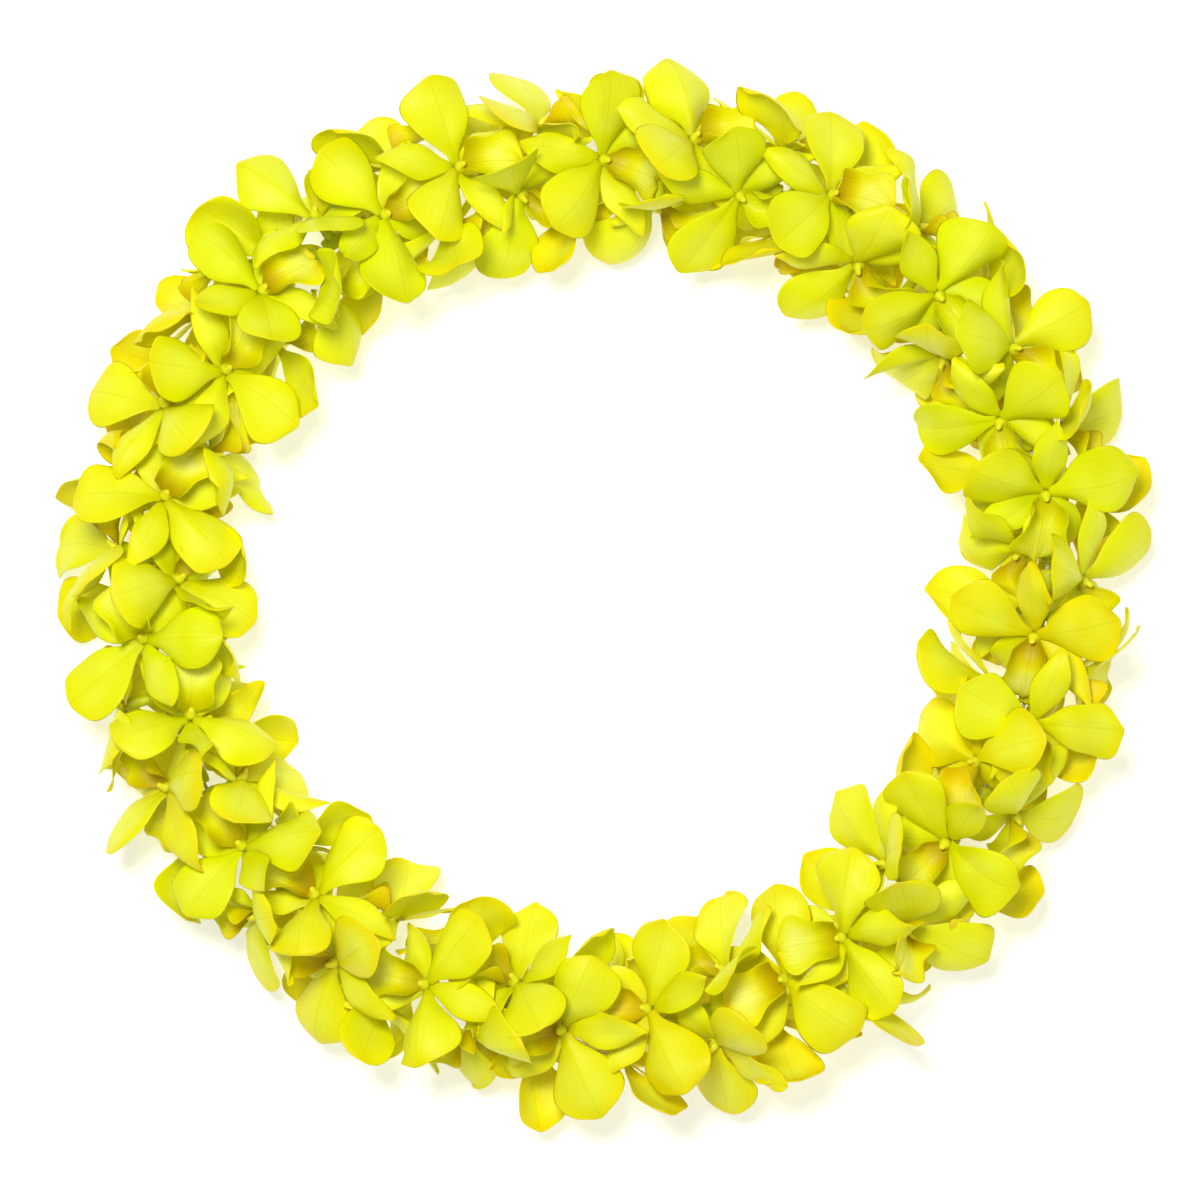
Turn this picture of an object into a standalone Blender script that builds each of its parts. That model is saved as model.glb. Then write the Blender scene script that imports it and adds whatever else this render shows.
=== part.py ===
"""A flower lei: yellow dendrobium orchids strung through their bases on one tied thread, laid down in a ring.

Metres, +Z up. The lei rests on z = 0 with the middle of its outline over the origin.
"""

import math
import random
from collections import namedtuple

import bmesh
import bpy
from mathutils import Matrix, Quaternion, Vector
from mathutils.bvhtree import BVHTree

# Ring: the route of the thread seen from above, nearly round
RING_RADIUS = 0.1631
RING_WAVES = ((2, 0.0031, 0.0006), (3, -0.0006, 0.0018), (4, 0.0003, 0.0007))  # waves a round, cosine, sine
ROUTE_STEPS = 1440
THREAD_HEIGHT = 0.028
THREAD_RADIUS = 0.0007
KNOT_ANGLE = math.radians(-62)
KNOT_GAP = 0.0054
KNOT_RADIUS = 0.0017
TAIL_LENGTH = 0.011
TAIL_SPREAD = 0.7
TAIL_SLANT = 0.1

# Stringing: each bloom is turned about the thread from the one before, and its lip points clockwise.
# The surface that the lei lies on turns the lower blooms upwards by the UPTURN.
BLOOM_COUNT = 96
BLOOMS_A_NODE = 2
TURN = math.radians(137.5)
TURN_PLAY = math.radians(14)
UPTURN = 0.34
LEAN = math.radians(24)
LEAN_PLAY = math.radians(12)
SPIN_PLAY = math.radians(24)
SEED = 11

# Base of a bloom: a sleeve round the thread, a neck, and the six-sided hub that the tepals grow from
SLEEVE_RADIUS = 0.0038
SLEEVE_END_GAP = 0.0004
HOLE_RADIUS = 0.0015
HOLE_PAST = 0.002
NECK_RADIUS = 0.0024
HUB_DISTANCE = 0.0152
HUB_DISTANCE_PLAY = 0.0012
HUB_RADIUS = 0.0030
HUB_BAND = 0.0011
COLUMN_LENGTH = 0.0044
COLUMN_NOD = 0.0012

# Tepals: thickness, and the room left between one bloom and the next
BLADE_THICKNESS = 0.0008
BLADE_ROOM = 0.00045
CLEAR_OF_HUB = 0.16
BLADE_STEPS = 10
ROOT_WIDTH = 0.32

# The surface that the lei lies on, and the sines of angles under which a tepal counts as upright over it
FLOOR = 0.0
UPRIGHT_ACROSS = 0.05
UPRIGHT_ALONG = 0.1
LANDING_SHIFT = 2

# angle and hub_side, from the dorsal sepal: where the tepal points, and the hub's face that it grows from.
# band: -1 outer whorl, 1 inner whorl. lift and recurve: degrees out of the bloom's plane at the root, and
# back from there to the tip. middle: the step of BLADE_STEPS where the solid has a row of points.
# tip: half the width of its blunt end as a part of half the width, or 0 for a point.
Tepal = namedtuple(
    "Tepal", "name angle hub_side band length width widest blunt lift recurve crown middle tip"
)
TEPALS = (
    Tepal("lip", 180, 180, 1, 0.0235, 0.0205, 0.54, 0.70, 52, 66, -0.50, 4, 0.55),
    Tepal("left_petal", 68, 60, 1, 0.0330, 0.0252, 0.60, 0.80, 24, 34, 0.16, 6, 0.52),
    Tepal("right_petal", -68, -60, 1, 0.0330, 0.0252, 0.60, 0.80, 24, 34, 0.16, 6, 0.52),
    Tepal("dorsal_sepal", 0, 0, -1, 0.0315, 0.0156, 0.45, 0.85, 10, 22, 0.25, 5, 0),
    Tepal("left_sepal", 141, 120, -1, 0.0310, 0.0150, 0.38, 0.95, 12, 44, 0.25, 4, 0),
    Tepal("right_sepal", -141, -120, -1, 0.0310, 0.0150, 0.38, 0.95, 12, 44, 0.25, 4, 0),
)

# How far a tepal may be bent from its own shape to lie clear of the others, and the tries at each size
GIVE_LIFT = math.radians(46)
GIVE_SIDE = math.radians(20)
GIVE_RECURVE = math.radians(40)
GIVE_TWIST = math.radians(40)
PLAY = 0.34
MOST_GIVE = 1.3
SIZES = (1.0, 0.9, 0.8, 0.7, 0.6, 0.5)
SIZE_PLAY = (0.94, 1.04)
TRIES = 70
LAST_TRIES = 200
WINDOW = 8

# Linear colours and roughness
PETAL_COLOUR = (0.75, 0.76, 0.012)
PETAL_ROUGHNESS = 0.45
COTTON_COLOUR = (0.76, 0.70, 0.55)
COTTON_ROUGHNESS = 0.85

UP = Vector((0, 0, 1))
Bloom = namedtuple("Bloom", "seat radial facing dorsal side hub")
Pose = namedtuple("Pose", "lift sideways recurve twist size")
Placed = namedtuple("Placed", "bloom tree centre reach")


def ring_radius(angle):
    waves = (c * math.cos(k * angle) + s * math.sin(k * angle) for k, c, s in RING_WAVES)
    return RING_RADIUS + sum(waves)


def thread_joints():
    """The points where one sleeve ends and the next begins, clockwise from the knot round to it."""
    route = []
    for i in range(ROUTE_STEPS + 1):
        angle = KNOT_ANGLE - math.tau * i / ROUTE_STEPS
        r = ring_radius(angle)
        route.append(Vector((r * math.cos(angle), r * math.sin(angle), THREAD_HEIGHT)))
    lengths = [0.0]
    for a, b in zip(route, route[1:]):
        lengths.append(lengths[-1] + (b - a).length)
    count = BLOOM_COUNT // BLOOMS_A_NODE
    first, last = KNOT_GAP / 2, lengths[-1] - KNOT_GAP / 2
    joints, i = [], 0
    for n in range(count + 1):
        wanted = first + (last - first) * n / count
        while lengths[i + 1] < wanted:
            i += 1
        part = (wanted - lengths[i]) / (lengths[i + 1] - lengths[i])
        joints.append(route[i].lerp(route[i + 1], part))
    return joints


def string_bloom(number, seat, along):
    """A bloom's axes: facing out of its throat, dorsal towards its dorsal sepal, side across."""
    rng = random.Random(SEED * 1000 + number)
    outward = UP.cross(along).normalized()
    turn = number * TURN + rng.uniform(-TURN_PLAY, TURN_PLAY)
    turn -= UPTURN * math.sin(turn)
    radial = math.cos(turn) * UP + math.sin(turn) * outward
    lean = LEAN + rng.uniform(-LEAN_PLAY, LEAN_PLAY)
    facing = math.cos(lean) * radial + math.sin(lean) * along
    dorsal = math.sin(lean) * radial - math.cos(lean) * along
    dorsal = Quaternion(facing, rng.uniform(-SPIN_PLAY, SPIN_PLAY)) @ dorsal
    distance = HUB_DISTANCE + rng.uniform(-HUB_DISTANCE_PLAY, HUB_DISTANCE_PLAY)
    return Bloom(seat, radial, facing, dorsal, facing.cross(dorsal), seat + radial * distance)


def hub_point(bloom, corner, level):
    """A corner of the hub's six-sided rings. Corner c is between the faces at 60 c and 60 (c + 1) degrees."""
    angle = math.radians(30 + 60 * corner)
    spoke = math.cos(angle) * bloom.dorsal + math.sin(angle) * bloom.side
    return bloom.hub + spoke * HUB_RADIUS + bloom.facing * (level * HUB_BAND)


def outline(tepal, t):
    """Half the tepal's width at t of its length."""
    bow = math.sin(math.pi * t ** (math.log(0.5) / math.log(tepal.widest))) ** tepal.blunt
    return tepal.width / 2 * max(bow, ROOT_WIDTH * (1 - t) ** 2)


def level_width(direction, across, height, half_width):
    """The width direction, rolled about the tepal as far as it takes to keep its edges off the surface."""
    level = UP.cross(direction)
    if level.length < UPRIGHT_ACROSS:
        return across
    level.normalize()
    steep = direction.cross(level)
    tilt = math.atan2(across.dot(steep), across.dot(level))
    room = max(height - FLOOR - BLADE_THICKNESS / 2, 0.0)
    limit = math.asin(min(room / half_width, 1.0)) if half_width > 0 else math.pi / 2
    if abs(tilt) <= math.pi / 2:
        tilt = max(-limit, min(limit, tilt))
    else:
        tilt = math.copysign(max(abs(tilt), math.pi - limit), tilt)
    return math.cos(tilt) * level + math.sin(tilt) * steep


def tepal_frames(bloom, tepal, pose):
    """Points, directions and width directions along a tepal's middle, and the step from which it lies flat.

    A tepal that meets the surface turns and lies along it. One that would have to fold under gives None.
    """
    hub_angle = math.radians(tepal.hub_side)
    spoke = math.cos(hub_angle) * bloom.dorsal + math.sin(hub_angle) * bloom.side
    to_face = spoke * (HUB_RADIUS * math.cos(math.pi / 6))
    point = bloom.hub + to_face + bloom.facing * (tepal.band * HUB_BAND / 2)
    angle = math.radians(tepal.angle) + pose.sideways
    away = math.cos(angle) * bloom.dorsal + math.sin(angle) * bloom.side
    across = bloom.facing.cross(away)
    step = tepal.length * pose.size / BLADE_STEPS
    lowest = FLOOR + BLADE_THICKNESS / 2
    frames, landed = [], None
    for i in range(BLADE_STEPS + 1):
        t = i / BLADE_STEPS
        rise = pose.lift - pose.recurve * t
        direction = math.cos(rise) * away + math.sin(rise) * bloom.facing
        width = Quaternion(direction, pose.twist * t) @ across
        if landed is None and point.z + direction.z * step < lowest:
            landed = i + 1
        if landed is not None:
            direction = Vector((direction.x, direction.y, 0.0))
            if direction.length < UPRIGHT_ALONG:
                return None
            direction.normalize()
        width = level_width(direction, width, point.z, outline(tepal, t) * pose.size)
        frames.append((point, direction, width))
        point = point + direction * step
        if landed is not None:
            point.z = lowest
    return frames, landed


def tepal_stations(tepal, landed):
    """The steps where the solid has rows of points: its middle, or near it where it lands, and its tip."""
    middle = tepal.middle
    if landed is not None and middle < landed <= middle + LANDING_SHIFT:
        middle = landed
    return middle, BLADE_STEPS


def blade_rows(bloom, tepal, pose, room=0.0):
    """Rows of (front, back) points at the tepal's stations. room makes the blade larger all round."""
    found = tepal_frames(bloom, tepal, pose)
    if found is None:
        return None
    frames, landed = found
    half = BLADE_THICKNESS / 2 + room
    rows = []
    for station in tepal_stations(tepal, landed):
        point, direction, width = frames[station]
        sides, reach = (-1, 0, 1), outline(tepal, station / BLADE_STEPS) * pose.size + room
        if station == BLADE_STEPS:
            point = point + direction * room
            sides, reach = (-1, 1) if tepal.tip else (0,), tepal.width / 2 * tepal.tip * pose.size + room
        crown = 0.0 if landed is not None and station >= landed else tepal.crown
        normal = direction.cross(width)
        row = []
        for side in sides:
            middle = point + width * (side * reach) - normal * (abs(side) * crown * reach)
            front, back = middle + normal * half, middle - normal * half
            lift = Vector((0, 0, max(FLOOR - room - min(front.z, back.z), 0.0)))
            row.append((front + lift, back + lift))
        rows.append(row)
    return rows


def strip(a, b):
    """Triangles between two rows of indices, of one to three points each."""
    if len(a) == 2 and len(b) == 3:
        return [(a[0], b[0], b[1]), (a[0], b[1], a[1]), (a[1], b[1], b[2])]
    if len(a) == 3 and len(b) == 2:
        return [(a[0], b[0], a[1]), (a[1], b[0], b[1]), (a[1], b[1], a[2])]
    if len(b) == 1:
        return [(p, b[0], q) for p, q in zip(a, a[1:])]
    pairs = zip(zip(a, a[1:]), zip(b, b[1:]))
    return [t for (p, q), (r, s) in pairs for t in ((p, r, s), (p, s, q))]


def blade_faces(rows):
    """Triangles of a closed blade whose first row is open to the hub. rows hold (front, back) indices."""
    faces = []
    for a, b in zip(rows, rows[1:]):
        front = strip([f for f, _ in a], [f for f, _ in b])
        back = strip([k for _, k in a], [k for _, k in b])
        faces += front + [(p, r, q) for p, q, r in back]
    left = [row[0] for row in rows]
    right = [row[-1] for row in rows]
    for (f0, k0), (f1, k1) in zip(left, left[1:]):
        faces += [(f0, k0, k1), (f0, k1, f1)]
    for (f0, k0), (f1, k1) in zip(right, right[1:]):
        faces += [(f0, f1, k1), (f0, k1, k0)]
    if len(rows[-1]) == 2:
        (f0, k0), (f1, k1) = rows[-1]
        faces += [(f0, k0, k1), (f0, k1, f1)]
    return faces


def root_row(bloom, tepal):
    corner = tepal.hub_side // 60
    upper, lower = (1, 0) if tepal.band > 0 else (0, -1)
    corners = (corner - 1, corner)
    return [(hub_point(bloom, c, upper), hub_point(bloom, c, lower)) for c in corners]


def blade_tree(bloom, tepal, pose, room=0.0, begin=0.0):
    """The blade as a closed surface for testing. begin leaves out that part of its first stretch."""
    rows = blade_rows(bloom, tepal, pose, room)
    if rows is None:
        return None
    (f0, k0), (f1, k1) = root_row(bloom, tepal)
    out, aside = bloom.facing * room, (f1 - f0).normalized() * room
    corners = ((f0 + out - aside, k0 - out - aside), (f1 + out + aside, k1 - out + aside))
    root = [
        (f.lerp(rows[0][i][0], begin), k.lerp(rows[0][i][1], begin))
        for i, (f, k) in zip((0, 2), corners)
    ]
    points, indexed = [], []
    for row in [root] + rows:
        indexed.append([])
        for front, back in row:
            indexed[-1].append((len(points), len(points) + 1))
            points += [front, back]
    (f0, k0), (f1, k1) = indexed[0]
    faces = blade_faces(indexed) + [(f0, k0, k1), (f0, k1, f1)]
    centre = sum(points, Vector()) / len(points)
    reach = max((p - centre).length for p in points)
    return Placed(bloom, BVHTree.FromPolygons(points, faces, all_triangles=True), centre, reach)


def is_clear(blade, others):
    for other in others:
        near = blade.reach + other.reach
        if (blade.centre - other.centre).length_squared < near * near and blade.tree.overlap(other.tree):
            return False
    return True


def draw_pose(tepal, rng, give, size):
    """A pose near the tepal's own, further from it the more it gives."""

    def vary(most):
        return rng.uniform(-1, 1) * most * (PLAY + (1 - PLAY) * min(give, MOST_GIVE))

    return Pose(
        math.radians(tepal.lift) + vary(GIVE_LIFT),
        vary(GIVE_SIDE),
        math.radians(tepal.recurve) + vary(GIVE_RECURVE),
        vary(GIVE_TWIST),
        size * rng.uniform(*SIZE_PLAY),
    )


def settle(number, bloom, tepal, others, own):
    """The first pose in which the tepal lies clear: bent more and more from its own shape, then smaller."""
    rng = random.Random(SEED * 100000 + number * 10 + TEPALS.index(tepal))
    for size in SIZES:
        for i in range(TRIES if size > SIZES[-1] else LAST_TRIES):
            pose = draw_pose(tepal, rng, i / TRIES, size)
            free = blade_tree(bloom, tepal, pose, begin=CLEAR_OF_HUB)
            if free is None or not is_clear(free, own):
                continue
            if is_clear(blade_tree(bloom, tepal, pose, room=BLADE_ROOM), others):
                return pose, free
    return None, None


def closed_band(lower, upper, open_faces=()):
    """Triangles between two six-sided rings of indices. Face i lies between corners i - 1 and i."""
    faces = []
    for i in range(6):
        if i not in open_faces:
            a, b, c, d = lower[i - 1], lower[i], upper[i], upper[i - 1]
            faces += [(a, b, c), (a, c, d)]
    return faces


def neck_band(neck, ring):
    """Triangles between the neck's three corners, each under a face of the hub, and the hub's lowest ring."""
    faces = []
    for i in range(3):
        a, b = neck[i], neck[(i + 1) % 3]
        before, after, beyond = ring[2 * i - 1], ring[2 * i], ring[2 * i + 1]
        faces += [(a, after, before), (a, b, beyond), (a, beyond, after)]
    return faces


def core_points(bloom):
    """The hub's three rings of six, the three ends of the neck on the thread, and the end of the column."""
    hub = [hub_point(bloom, c, level) for level in (-1, 0, 1) for c in range(6)]
    neck = []
    for angle in (0, 120, 240):
        spoke = Quaternion(bloom.facing, math.radians(angle)) @ bloom.dorsal
        spoke -= spoke.project(bloom.radial)
        neck.append(bloom.seat + spoke.normalized() * NECK_RADIUS)
    column = bloom.hub + bloom.facing * (HUB_BAND + COLUMN_LENGTH) - bloom.dorsal * COLUMN_NOD
    return hub + neck + [column]


def bloom_shape(bloom, poses):
    """Points and faces of one closed bloom: neck, hub and column, and the tepals grown from the hub."""
    points = core_points(bloom)
    low, middle, high = ([6 * n + c for c in range(6)] for n in range(3))
    neck, column = [18, 19, 20], 21
    grown = [t for t in TEPALS if poses.get(t.name)]
    inner = {t.hub_side // 60 % 6 for t in grown if t.band > 0}
    outer = {t.hub_side // 60 % 6 for t in grown if t.band < 0}
    faces = neck_band(neck, low) + closed_band(low, middle, outer) + closed_band(middle, high, inner)
    faces += [(high[c - 1], high[c], column) for c in range(6)] + [tuple(reversed(neck))]
    for tepal in grown:
        front, back = (high, middle) if tepal.band > 0 else (middle, low)
        side = tepal.hub_side // 60
        rows = [[(front[(side - 1) % 6], back[(side - 1) % 6]), (front[side % 6], back[side % 6])]]
        for row in blade_rows(bloom, tepal, poses[tepal.name]):
            rows.append([])
            for pair in row:
                rows[-1].append((len(points), len(points) + 1))
                points += pair
        faces += blade_faces(rows)
    return points, faces


def placed_solid(points, faces, bloom=None):
    centre = sum(points, Vector()) / len(points)
    reach = max((p - centre).length for p in points)
    return Placed(bloom, BVHTree.FromPolygons(points, faces), centre, reach)


def lay_out():
    """Blooms and the pose of each tepal. The topmost blooms keep their shape and the others make room."""
    joints = thread_joints()
    blooms = []
    for a, b in zip(joints, joints[1:]):
        for n in range(BLOOMS_A_NODE):
            seat = a.lerp(b, (n + 0.5) / BLOOMS_A_NODE)
            blooms.append(string_bloom(len(blooms), seat, (b - a).normalized()))
    near_it = {n: [] for n in range(BLOOM_COUNT)}
    for n, bloom in enumerate(blooms):
        near_it[n].append(placed_solid(*bloom_shape(bloom, {}), bloom))
    firm = [(n * BLOOMS_A_NODE, sleeve_mesh(a, b)) for n, (a, b) in enumerate(zip(joints, joints[1:]))]
    firm += [(0, mesh) for mesh in knot_meshes(joints)]
    for n, mesh in firm:
        points = [v.co.copy() for v in mesh.vertices]
        near_it[n].append(placed_solid(points, [tuple(p.vertices) for p in mesh.polygons]))
        bpy.data.meshes.remove(mesh)
    poses = [{} for _ in blooms]
    own = [[] for _ in blooms]
    topmost_first = sorted(range(BLOOM_COUNT), key=lambda n: -blooms[n].radial.z)
    inner_whorl, outer_whorl = TEPALS[:3], TEPALS[3:]
    for whorl in (inner_whorl, outer_whorl):
        for n in topmost_first:
            window = [(n + k) % BLOOM_COUNT for k in range(-WINDOW, WINDOW + 1)]
            others = [p for k in window for p in near_it[k] if p.bloom is not blooms[n]]
            for tepal in whorl:
                pose, blade = settle(n, blooms[n], tepal, others, own[n])
                poses[n][tepal.name] = pose
                if pose:
                    own[n].append(blade)
                    near_it[n].append(blade_tree(blooms[n], tepal, pose))
    return joints, blooms, poses


def new_mesh(name, points, faces):
    mesh = bpy.data.meshes.new(name)
    mesh.from_pydata(points, [], faces)
    mesh.update()
    return mesh


def rod_mesh(name, a, b, radius, sides):
    """A straight prism from a to b."""
    shape = bmesh.new()
    length = (b - a).length
    bmesh.ops.create_cone(
        shape, cap_ends=True, segments=sides, radius1=radius, radius2=radius, depth=length
    )
    turn = (b - a).to_track_quat("Z", "Y").to_matrix().to_4x4()
    shape.transform(Matrix.Translation((a + b) / 2) @ turn)
    mesh = bpy.data.meshes.new(name)
    shape.to_mesh(mesh)
    shape.free()
    return mesh


def sleeve_mesh(a, b):
    gap = (b - a).normalized() * SLEEVE_END_GAP
    return rod_mesh("sleeve", a + gap, b - gap, SLEEVE_RADIUS, 4)


def knot_meshes(joints):
    """The knot between the last sleeve and the first, and the two cut ends of the thread."""
    along = (joints[0] - joints[-1]).normalized()
    middle = (joints[0] + joints[-1]) / 2
    shape = bmesh.new()
    bmesh.ops.create_icosphere(shape, subdivisions=2, radius=KNOT_RADIUS, matrix=Matrix.Translation(middle))
    knot = bpy.data.meshes.new("knot")
    shape.to_mesh(knot)
    shape.free()
    outward = UP.cross(along).normalized()
    meshes = [knot]
    for side in (-1, 1):
        drop = (outward * (side * TAIL_SPREAD) - UP + along * (side * TAIL_SLANT)).normalized()
        meshes.append(rod_mesh("tail", middle, middle + drop * TAIL_LENGTH, THREAD_RADIUS, 4))
    return meshes


def link(mesh, collection, material=None):
    item = bpy.data.objects.new(mesh.name, mesh)
    collection.objects.link(item)
    if material:
        mesh.materials.append(material)
    return item


def baked(item):
    """Applies the object's modifiers."""
    graph = bpy.context.evaluated_depsgraph_get()
    mesh = bpy.data.meshes.new_from_object(item.evaluated_get(graph))
    item.modifiers.clear()
    old, item.data = item.data, mesh
    bpy.data.meshes.remove(old)
    mesh.name = item.name


def emptied(collection):
    for item in list(collection.objects):
        bpy.data.objects.remove(item, do_unlink=True)


def fuse(item, helpers, operation):
    """Joins the helpers' objects to the item, or cuts them out of it, and removes them."""
    boolean = item.modifiers.new("fuse", "BOOLEAN")
    boolean.operation = operation
    boolean.operand_type = "COLLECTION"
    boolean.collection = helpers
    boolean.solver = "MANIFOLD"
    baked(item)
    emptied(helpers)


def make_material(name, colour, roughness):
    material = bpy.data.materials.new(name)
    material.use_nodes = True
    shader = material.node_tree.nodes["Principled BSDF"]
    shader.inputs["Base Color"].default_value = (*colour, 1)
    shader.inputs["Roughness"].default_value = roughness
    shader.inputs["Metallic"].default_value = 0
    return material


def make_bloom_node(number, joints, blooms, poses, lei, helpers, material):
    """The blooms on one sleeve, fused to it, with the hole for the thread."""
    first = number * BLOOMS_A_NODE
    meshes = [
        new_mesh(f"bloom_{n}", *bloom_shape(blooms[n], poses[n]))
        for n in range(first, first + BLOOMS_A_NODE)
    ]
    meshes[0].name = f"blooms_{number + 1:02d}"
    item = link(meshes[0], lei, material)
    for mesh in meshes[1:]:
        link(mesh, helpers)
    a, b = joints[number], joints[number + 1]
    link(sleeve_mesh(a, b), helpers)
    fuse(item, helpers, "UNION")
    past = (b - a).normalized() * HOLE_PAST
    link(rod_mesh("hole", a - past, b + past, HOLE_RADIUS, 4), helpers)
    fuse(item, helpers, "DIFFERENCE")
    return item


def make_thread(joints, lei, helpers, material):
    """The closed thread with its knot and cut ends."""
    curve = bpy.data.curves.new("thread", "CURVE")
    curve.dimensions = "3D"
    curve.bevel_depth = THREAD_RADIUS
    curve.bevel_resolution = 0
    spline = curve.splines.new("POLY")
    spline.points.add(len(joints) - 1)
    for point, place in zip(spline.points, joints):
        point.co = (*place, 1)
    spline.use_cyclic_u = True
    route = bpy.data.objects.new("route", curve)
    bpy.context.scene.collection.objects.link(route)
    graph = bpy.context.evaluated_depsgraph_get()
    mesh = bpy.data.meshes.new_from_object(route.evaluated_get(graph))
    bpy.data.objects.remove(route)
    bpy.data.curves.remove(curve)
    mesh.name = "thread"
    item = link(mesh, lei, material)
    for helper in knot_meshes(joints):
        link(helper, helpers)
    fuse(item, helpers, "UNION")
    return item


def centre_outline(items):
    """Moves the lei so that the middle of its outline, seen from above, is over the origin."""
    points = [v.co for item in items for v in item.data.vertices]
    middle = [(min(p[axis] for p in points) + max(p[axis] for p in points)) / 2 for axis in (0, 1)]
    for item in items:
        item.data.transform(Matrix.Translation((-middle[0], -middle[1], 0)))


def main():
    for item in list(bpy.data.objects):
        bpy.data.objects.remove(item, do_unlink=True)
    lei = bpy.data.collections.new("lei")
    helpers = bpy.data.collections.new("helpers")
    for collection in (lei, helpers):
        bpy.context.scene.collection.children.link(collection)
    petal = make_material("petal", PETAL_COLOUR, PETAL_ROUGHNESS)
    cotton = make_material("cotton", COTTON_COLOUR, COTTON_ROUGHNESS)
    joints, blooms, poses = lay_out()
    items = [
        make_bloom_node(n, joints, blooms, poses, lei, helpers, petal)
        for n in range(BLOOM_COUNT // BLOOMS_A_NODE)
    ]
    items.append(make_thread(joints, lei, helpers, cotton))
    centre_outline(items)
    bpy.data.collections.remove(helpers)


main()
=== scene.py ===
import math
import random
from collections import namedtuple

import bmesh
import bpy
from mathutils import Matrix, Quaternion, Vector
from mathutils.bvhtree import BVHTree


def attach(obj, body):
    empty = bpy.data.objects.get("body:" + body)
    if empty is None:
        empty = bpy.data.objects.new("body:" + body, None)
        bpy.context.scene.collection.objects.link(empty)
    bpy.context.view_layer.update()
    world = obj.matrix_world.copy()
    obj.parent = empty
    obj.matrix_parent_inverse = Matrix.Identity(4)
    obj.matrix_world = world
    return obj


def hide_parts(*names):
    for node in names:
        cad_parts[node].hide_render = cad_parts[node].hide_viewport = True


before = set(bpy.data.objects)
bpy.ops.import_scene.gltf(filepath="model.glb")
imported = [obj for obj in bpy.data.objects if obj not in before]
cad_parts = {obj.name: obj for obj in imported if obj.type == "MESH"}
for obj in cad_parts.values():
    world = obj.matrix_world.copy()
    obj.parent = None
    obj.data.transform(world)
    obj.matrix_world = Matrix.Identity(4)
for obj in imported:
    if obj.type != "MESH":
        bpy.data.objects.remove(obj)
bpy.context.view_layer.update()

# The string of blooms
# A lei of this kind is fresh dendrobium orchids pushed onto a cotton thread with a long needle, each one through
# its base and turned a little from the one before, then slid together and laid down in a ring.
RING_RADIUS = 0.1631
RING_WAVES = ((2, 0.0031, 0.0006), (3, -0.0006, 0.0018), (4, 0.0003, 0.0007))  # waves a round, cosine, sine
ROUTE_STEPS = 1440
THREAD_HEIGHT = 0.028
THREAD_RADIUS = 0.0007
KNOT_ANGLE = math.radians(-62)
KNOT_GAP = 0.0054
KNOT_RADIUS = 0.0017
TAIL_LENGTH = 0.011
TAIL_SPREAD = 0.7
TAIL_SLANT = 0.1
BLOOM_COUNT = 96
BLOOMS_A_NODE = 2
TURN = math.radians(137.5)
TURN_PLAY = math.radians(14)
UPTURN = 0.34
LEAN = math.radians(24)
LEAN_PLAY = math.radians(12)
SPIN_PLAY = math.radians(24)
SEED = 11
HUB_DISTANCE = 0.0152
HUB_DISTANCE_PLAY = 0.0012

UP = Vector((0, 0, 1))
Bloom = namedtuple("Bloom", "seat radial facing dorsal side hub")


def ring_radius(angle):
    waves = (c * math.cos(k * angle) + s * math.sin(k * angle) for k, c, s in RING_WAVES)
    return RING_RADIUS + sum(waves)


def thread_joints():
    """The points where one sleeve ends and the next begins, clockwise from the knot round to it."""
    route = []
    for i in range(ROUTE_STEPS + 1):
        angle = KNOT_ANGLE - math.tau * i / ROUTE_STEPS
        r = ring_radius(angle)
        route.append(Vector((r * math.cos(angle), r * math.sin(angle), THREAD_HEIGHT)))
    lengths = [0.0]
    for a, b in zip(route, route[1:]):
        lengths.append(lengths[-1] + (b - a).length)
    count = BLOOM_COUNT // BLOOMS_A_NODE
    first, last = KNOT_GAP / 2, lengths[-1] - KNOT_GAP / 2
    joints, i = [], 0
    for n in range(count + 1):
        wanted = first + (last - first) * n / count
        while lengths[i + 1] < wanted:
            i += 1
        part = (wanted - lengths[i]) / (lengths[i + 1] - lengths[i])
        joints.append(route[i].lerp(route[i + 1], part))
    return joints


def string_bloom(number, seat, along):
    """A bloom's axes: facing out of its throat, dorsal towards its dorsal sepal, side across."""
    rng = random.Random(SEED * 1000 + number)
    outward = UP.cross(along).normalized()
    turn = number * TURN + rng.uniform(-TURN_PLAY, TURN_PLAY)
    turn -= UPTURN * math.sin(turn)
    radial = math.cos(turn) * UP + math.sin(turn) * outward
    lean = LEAN + rng.uniform(-LEAN_PLAY, LEAN_PLAY)
    facing = math.cos(lean) * radial + math.sin(lean) * along
    dorsal = math.sin(lean) * radial - math.cos(lean) * along
    dorsal = Quaternion(facing, rng.uniform(-SPIN_PLAY, SPIN_PLAY)) @ dorsal
    distance = HUB_DISTANCE + rng.uniform(-HUB_DISTANCE_PLAY, HUB_DISTANCE_PLAY)
    return Bloom(seat, radial, facing, dorsal, facing.cross(dorsal), seat + radial * distance)


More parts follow.
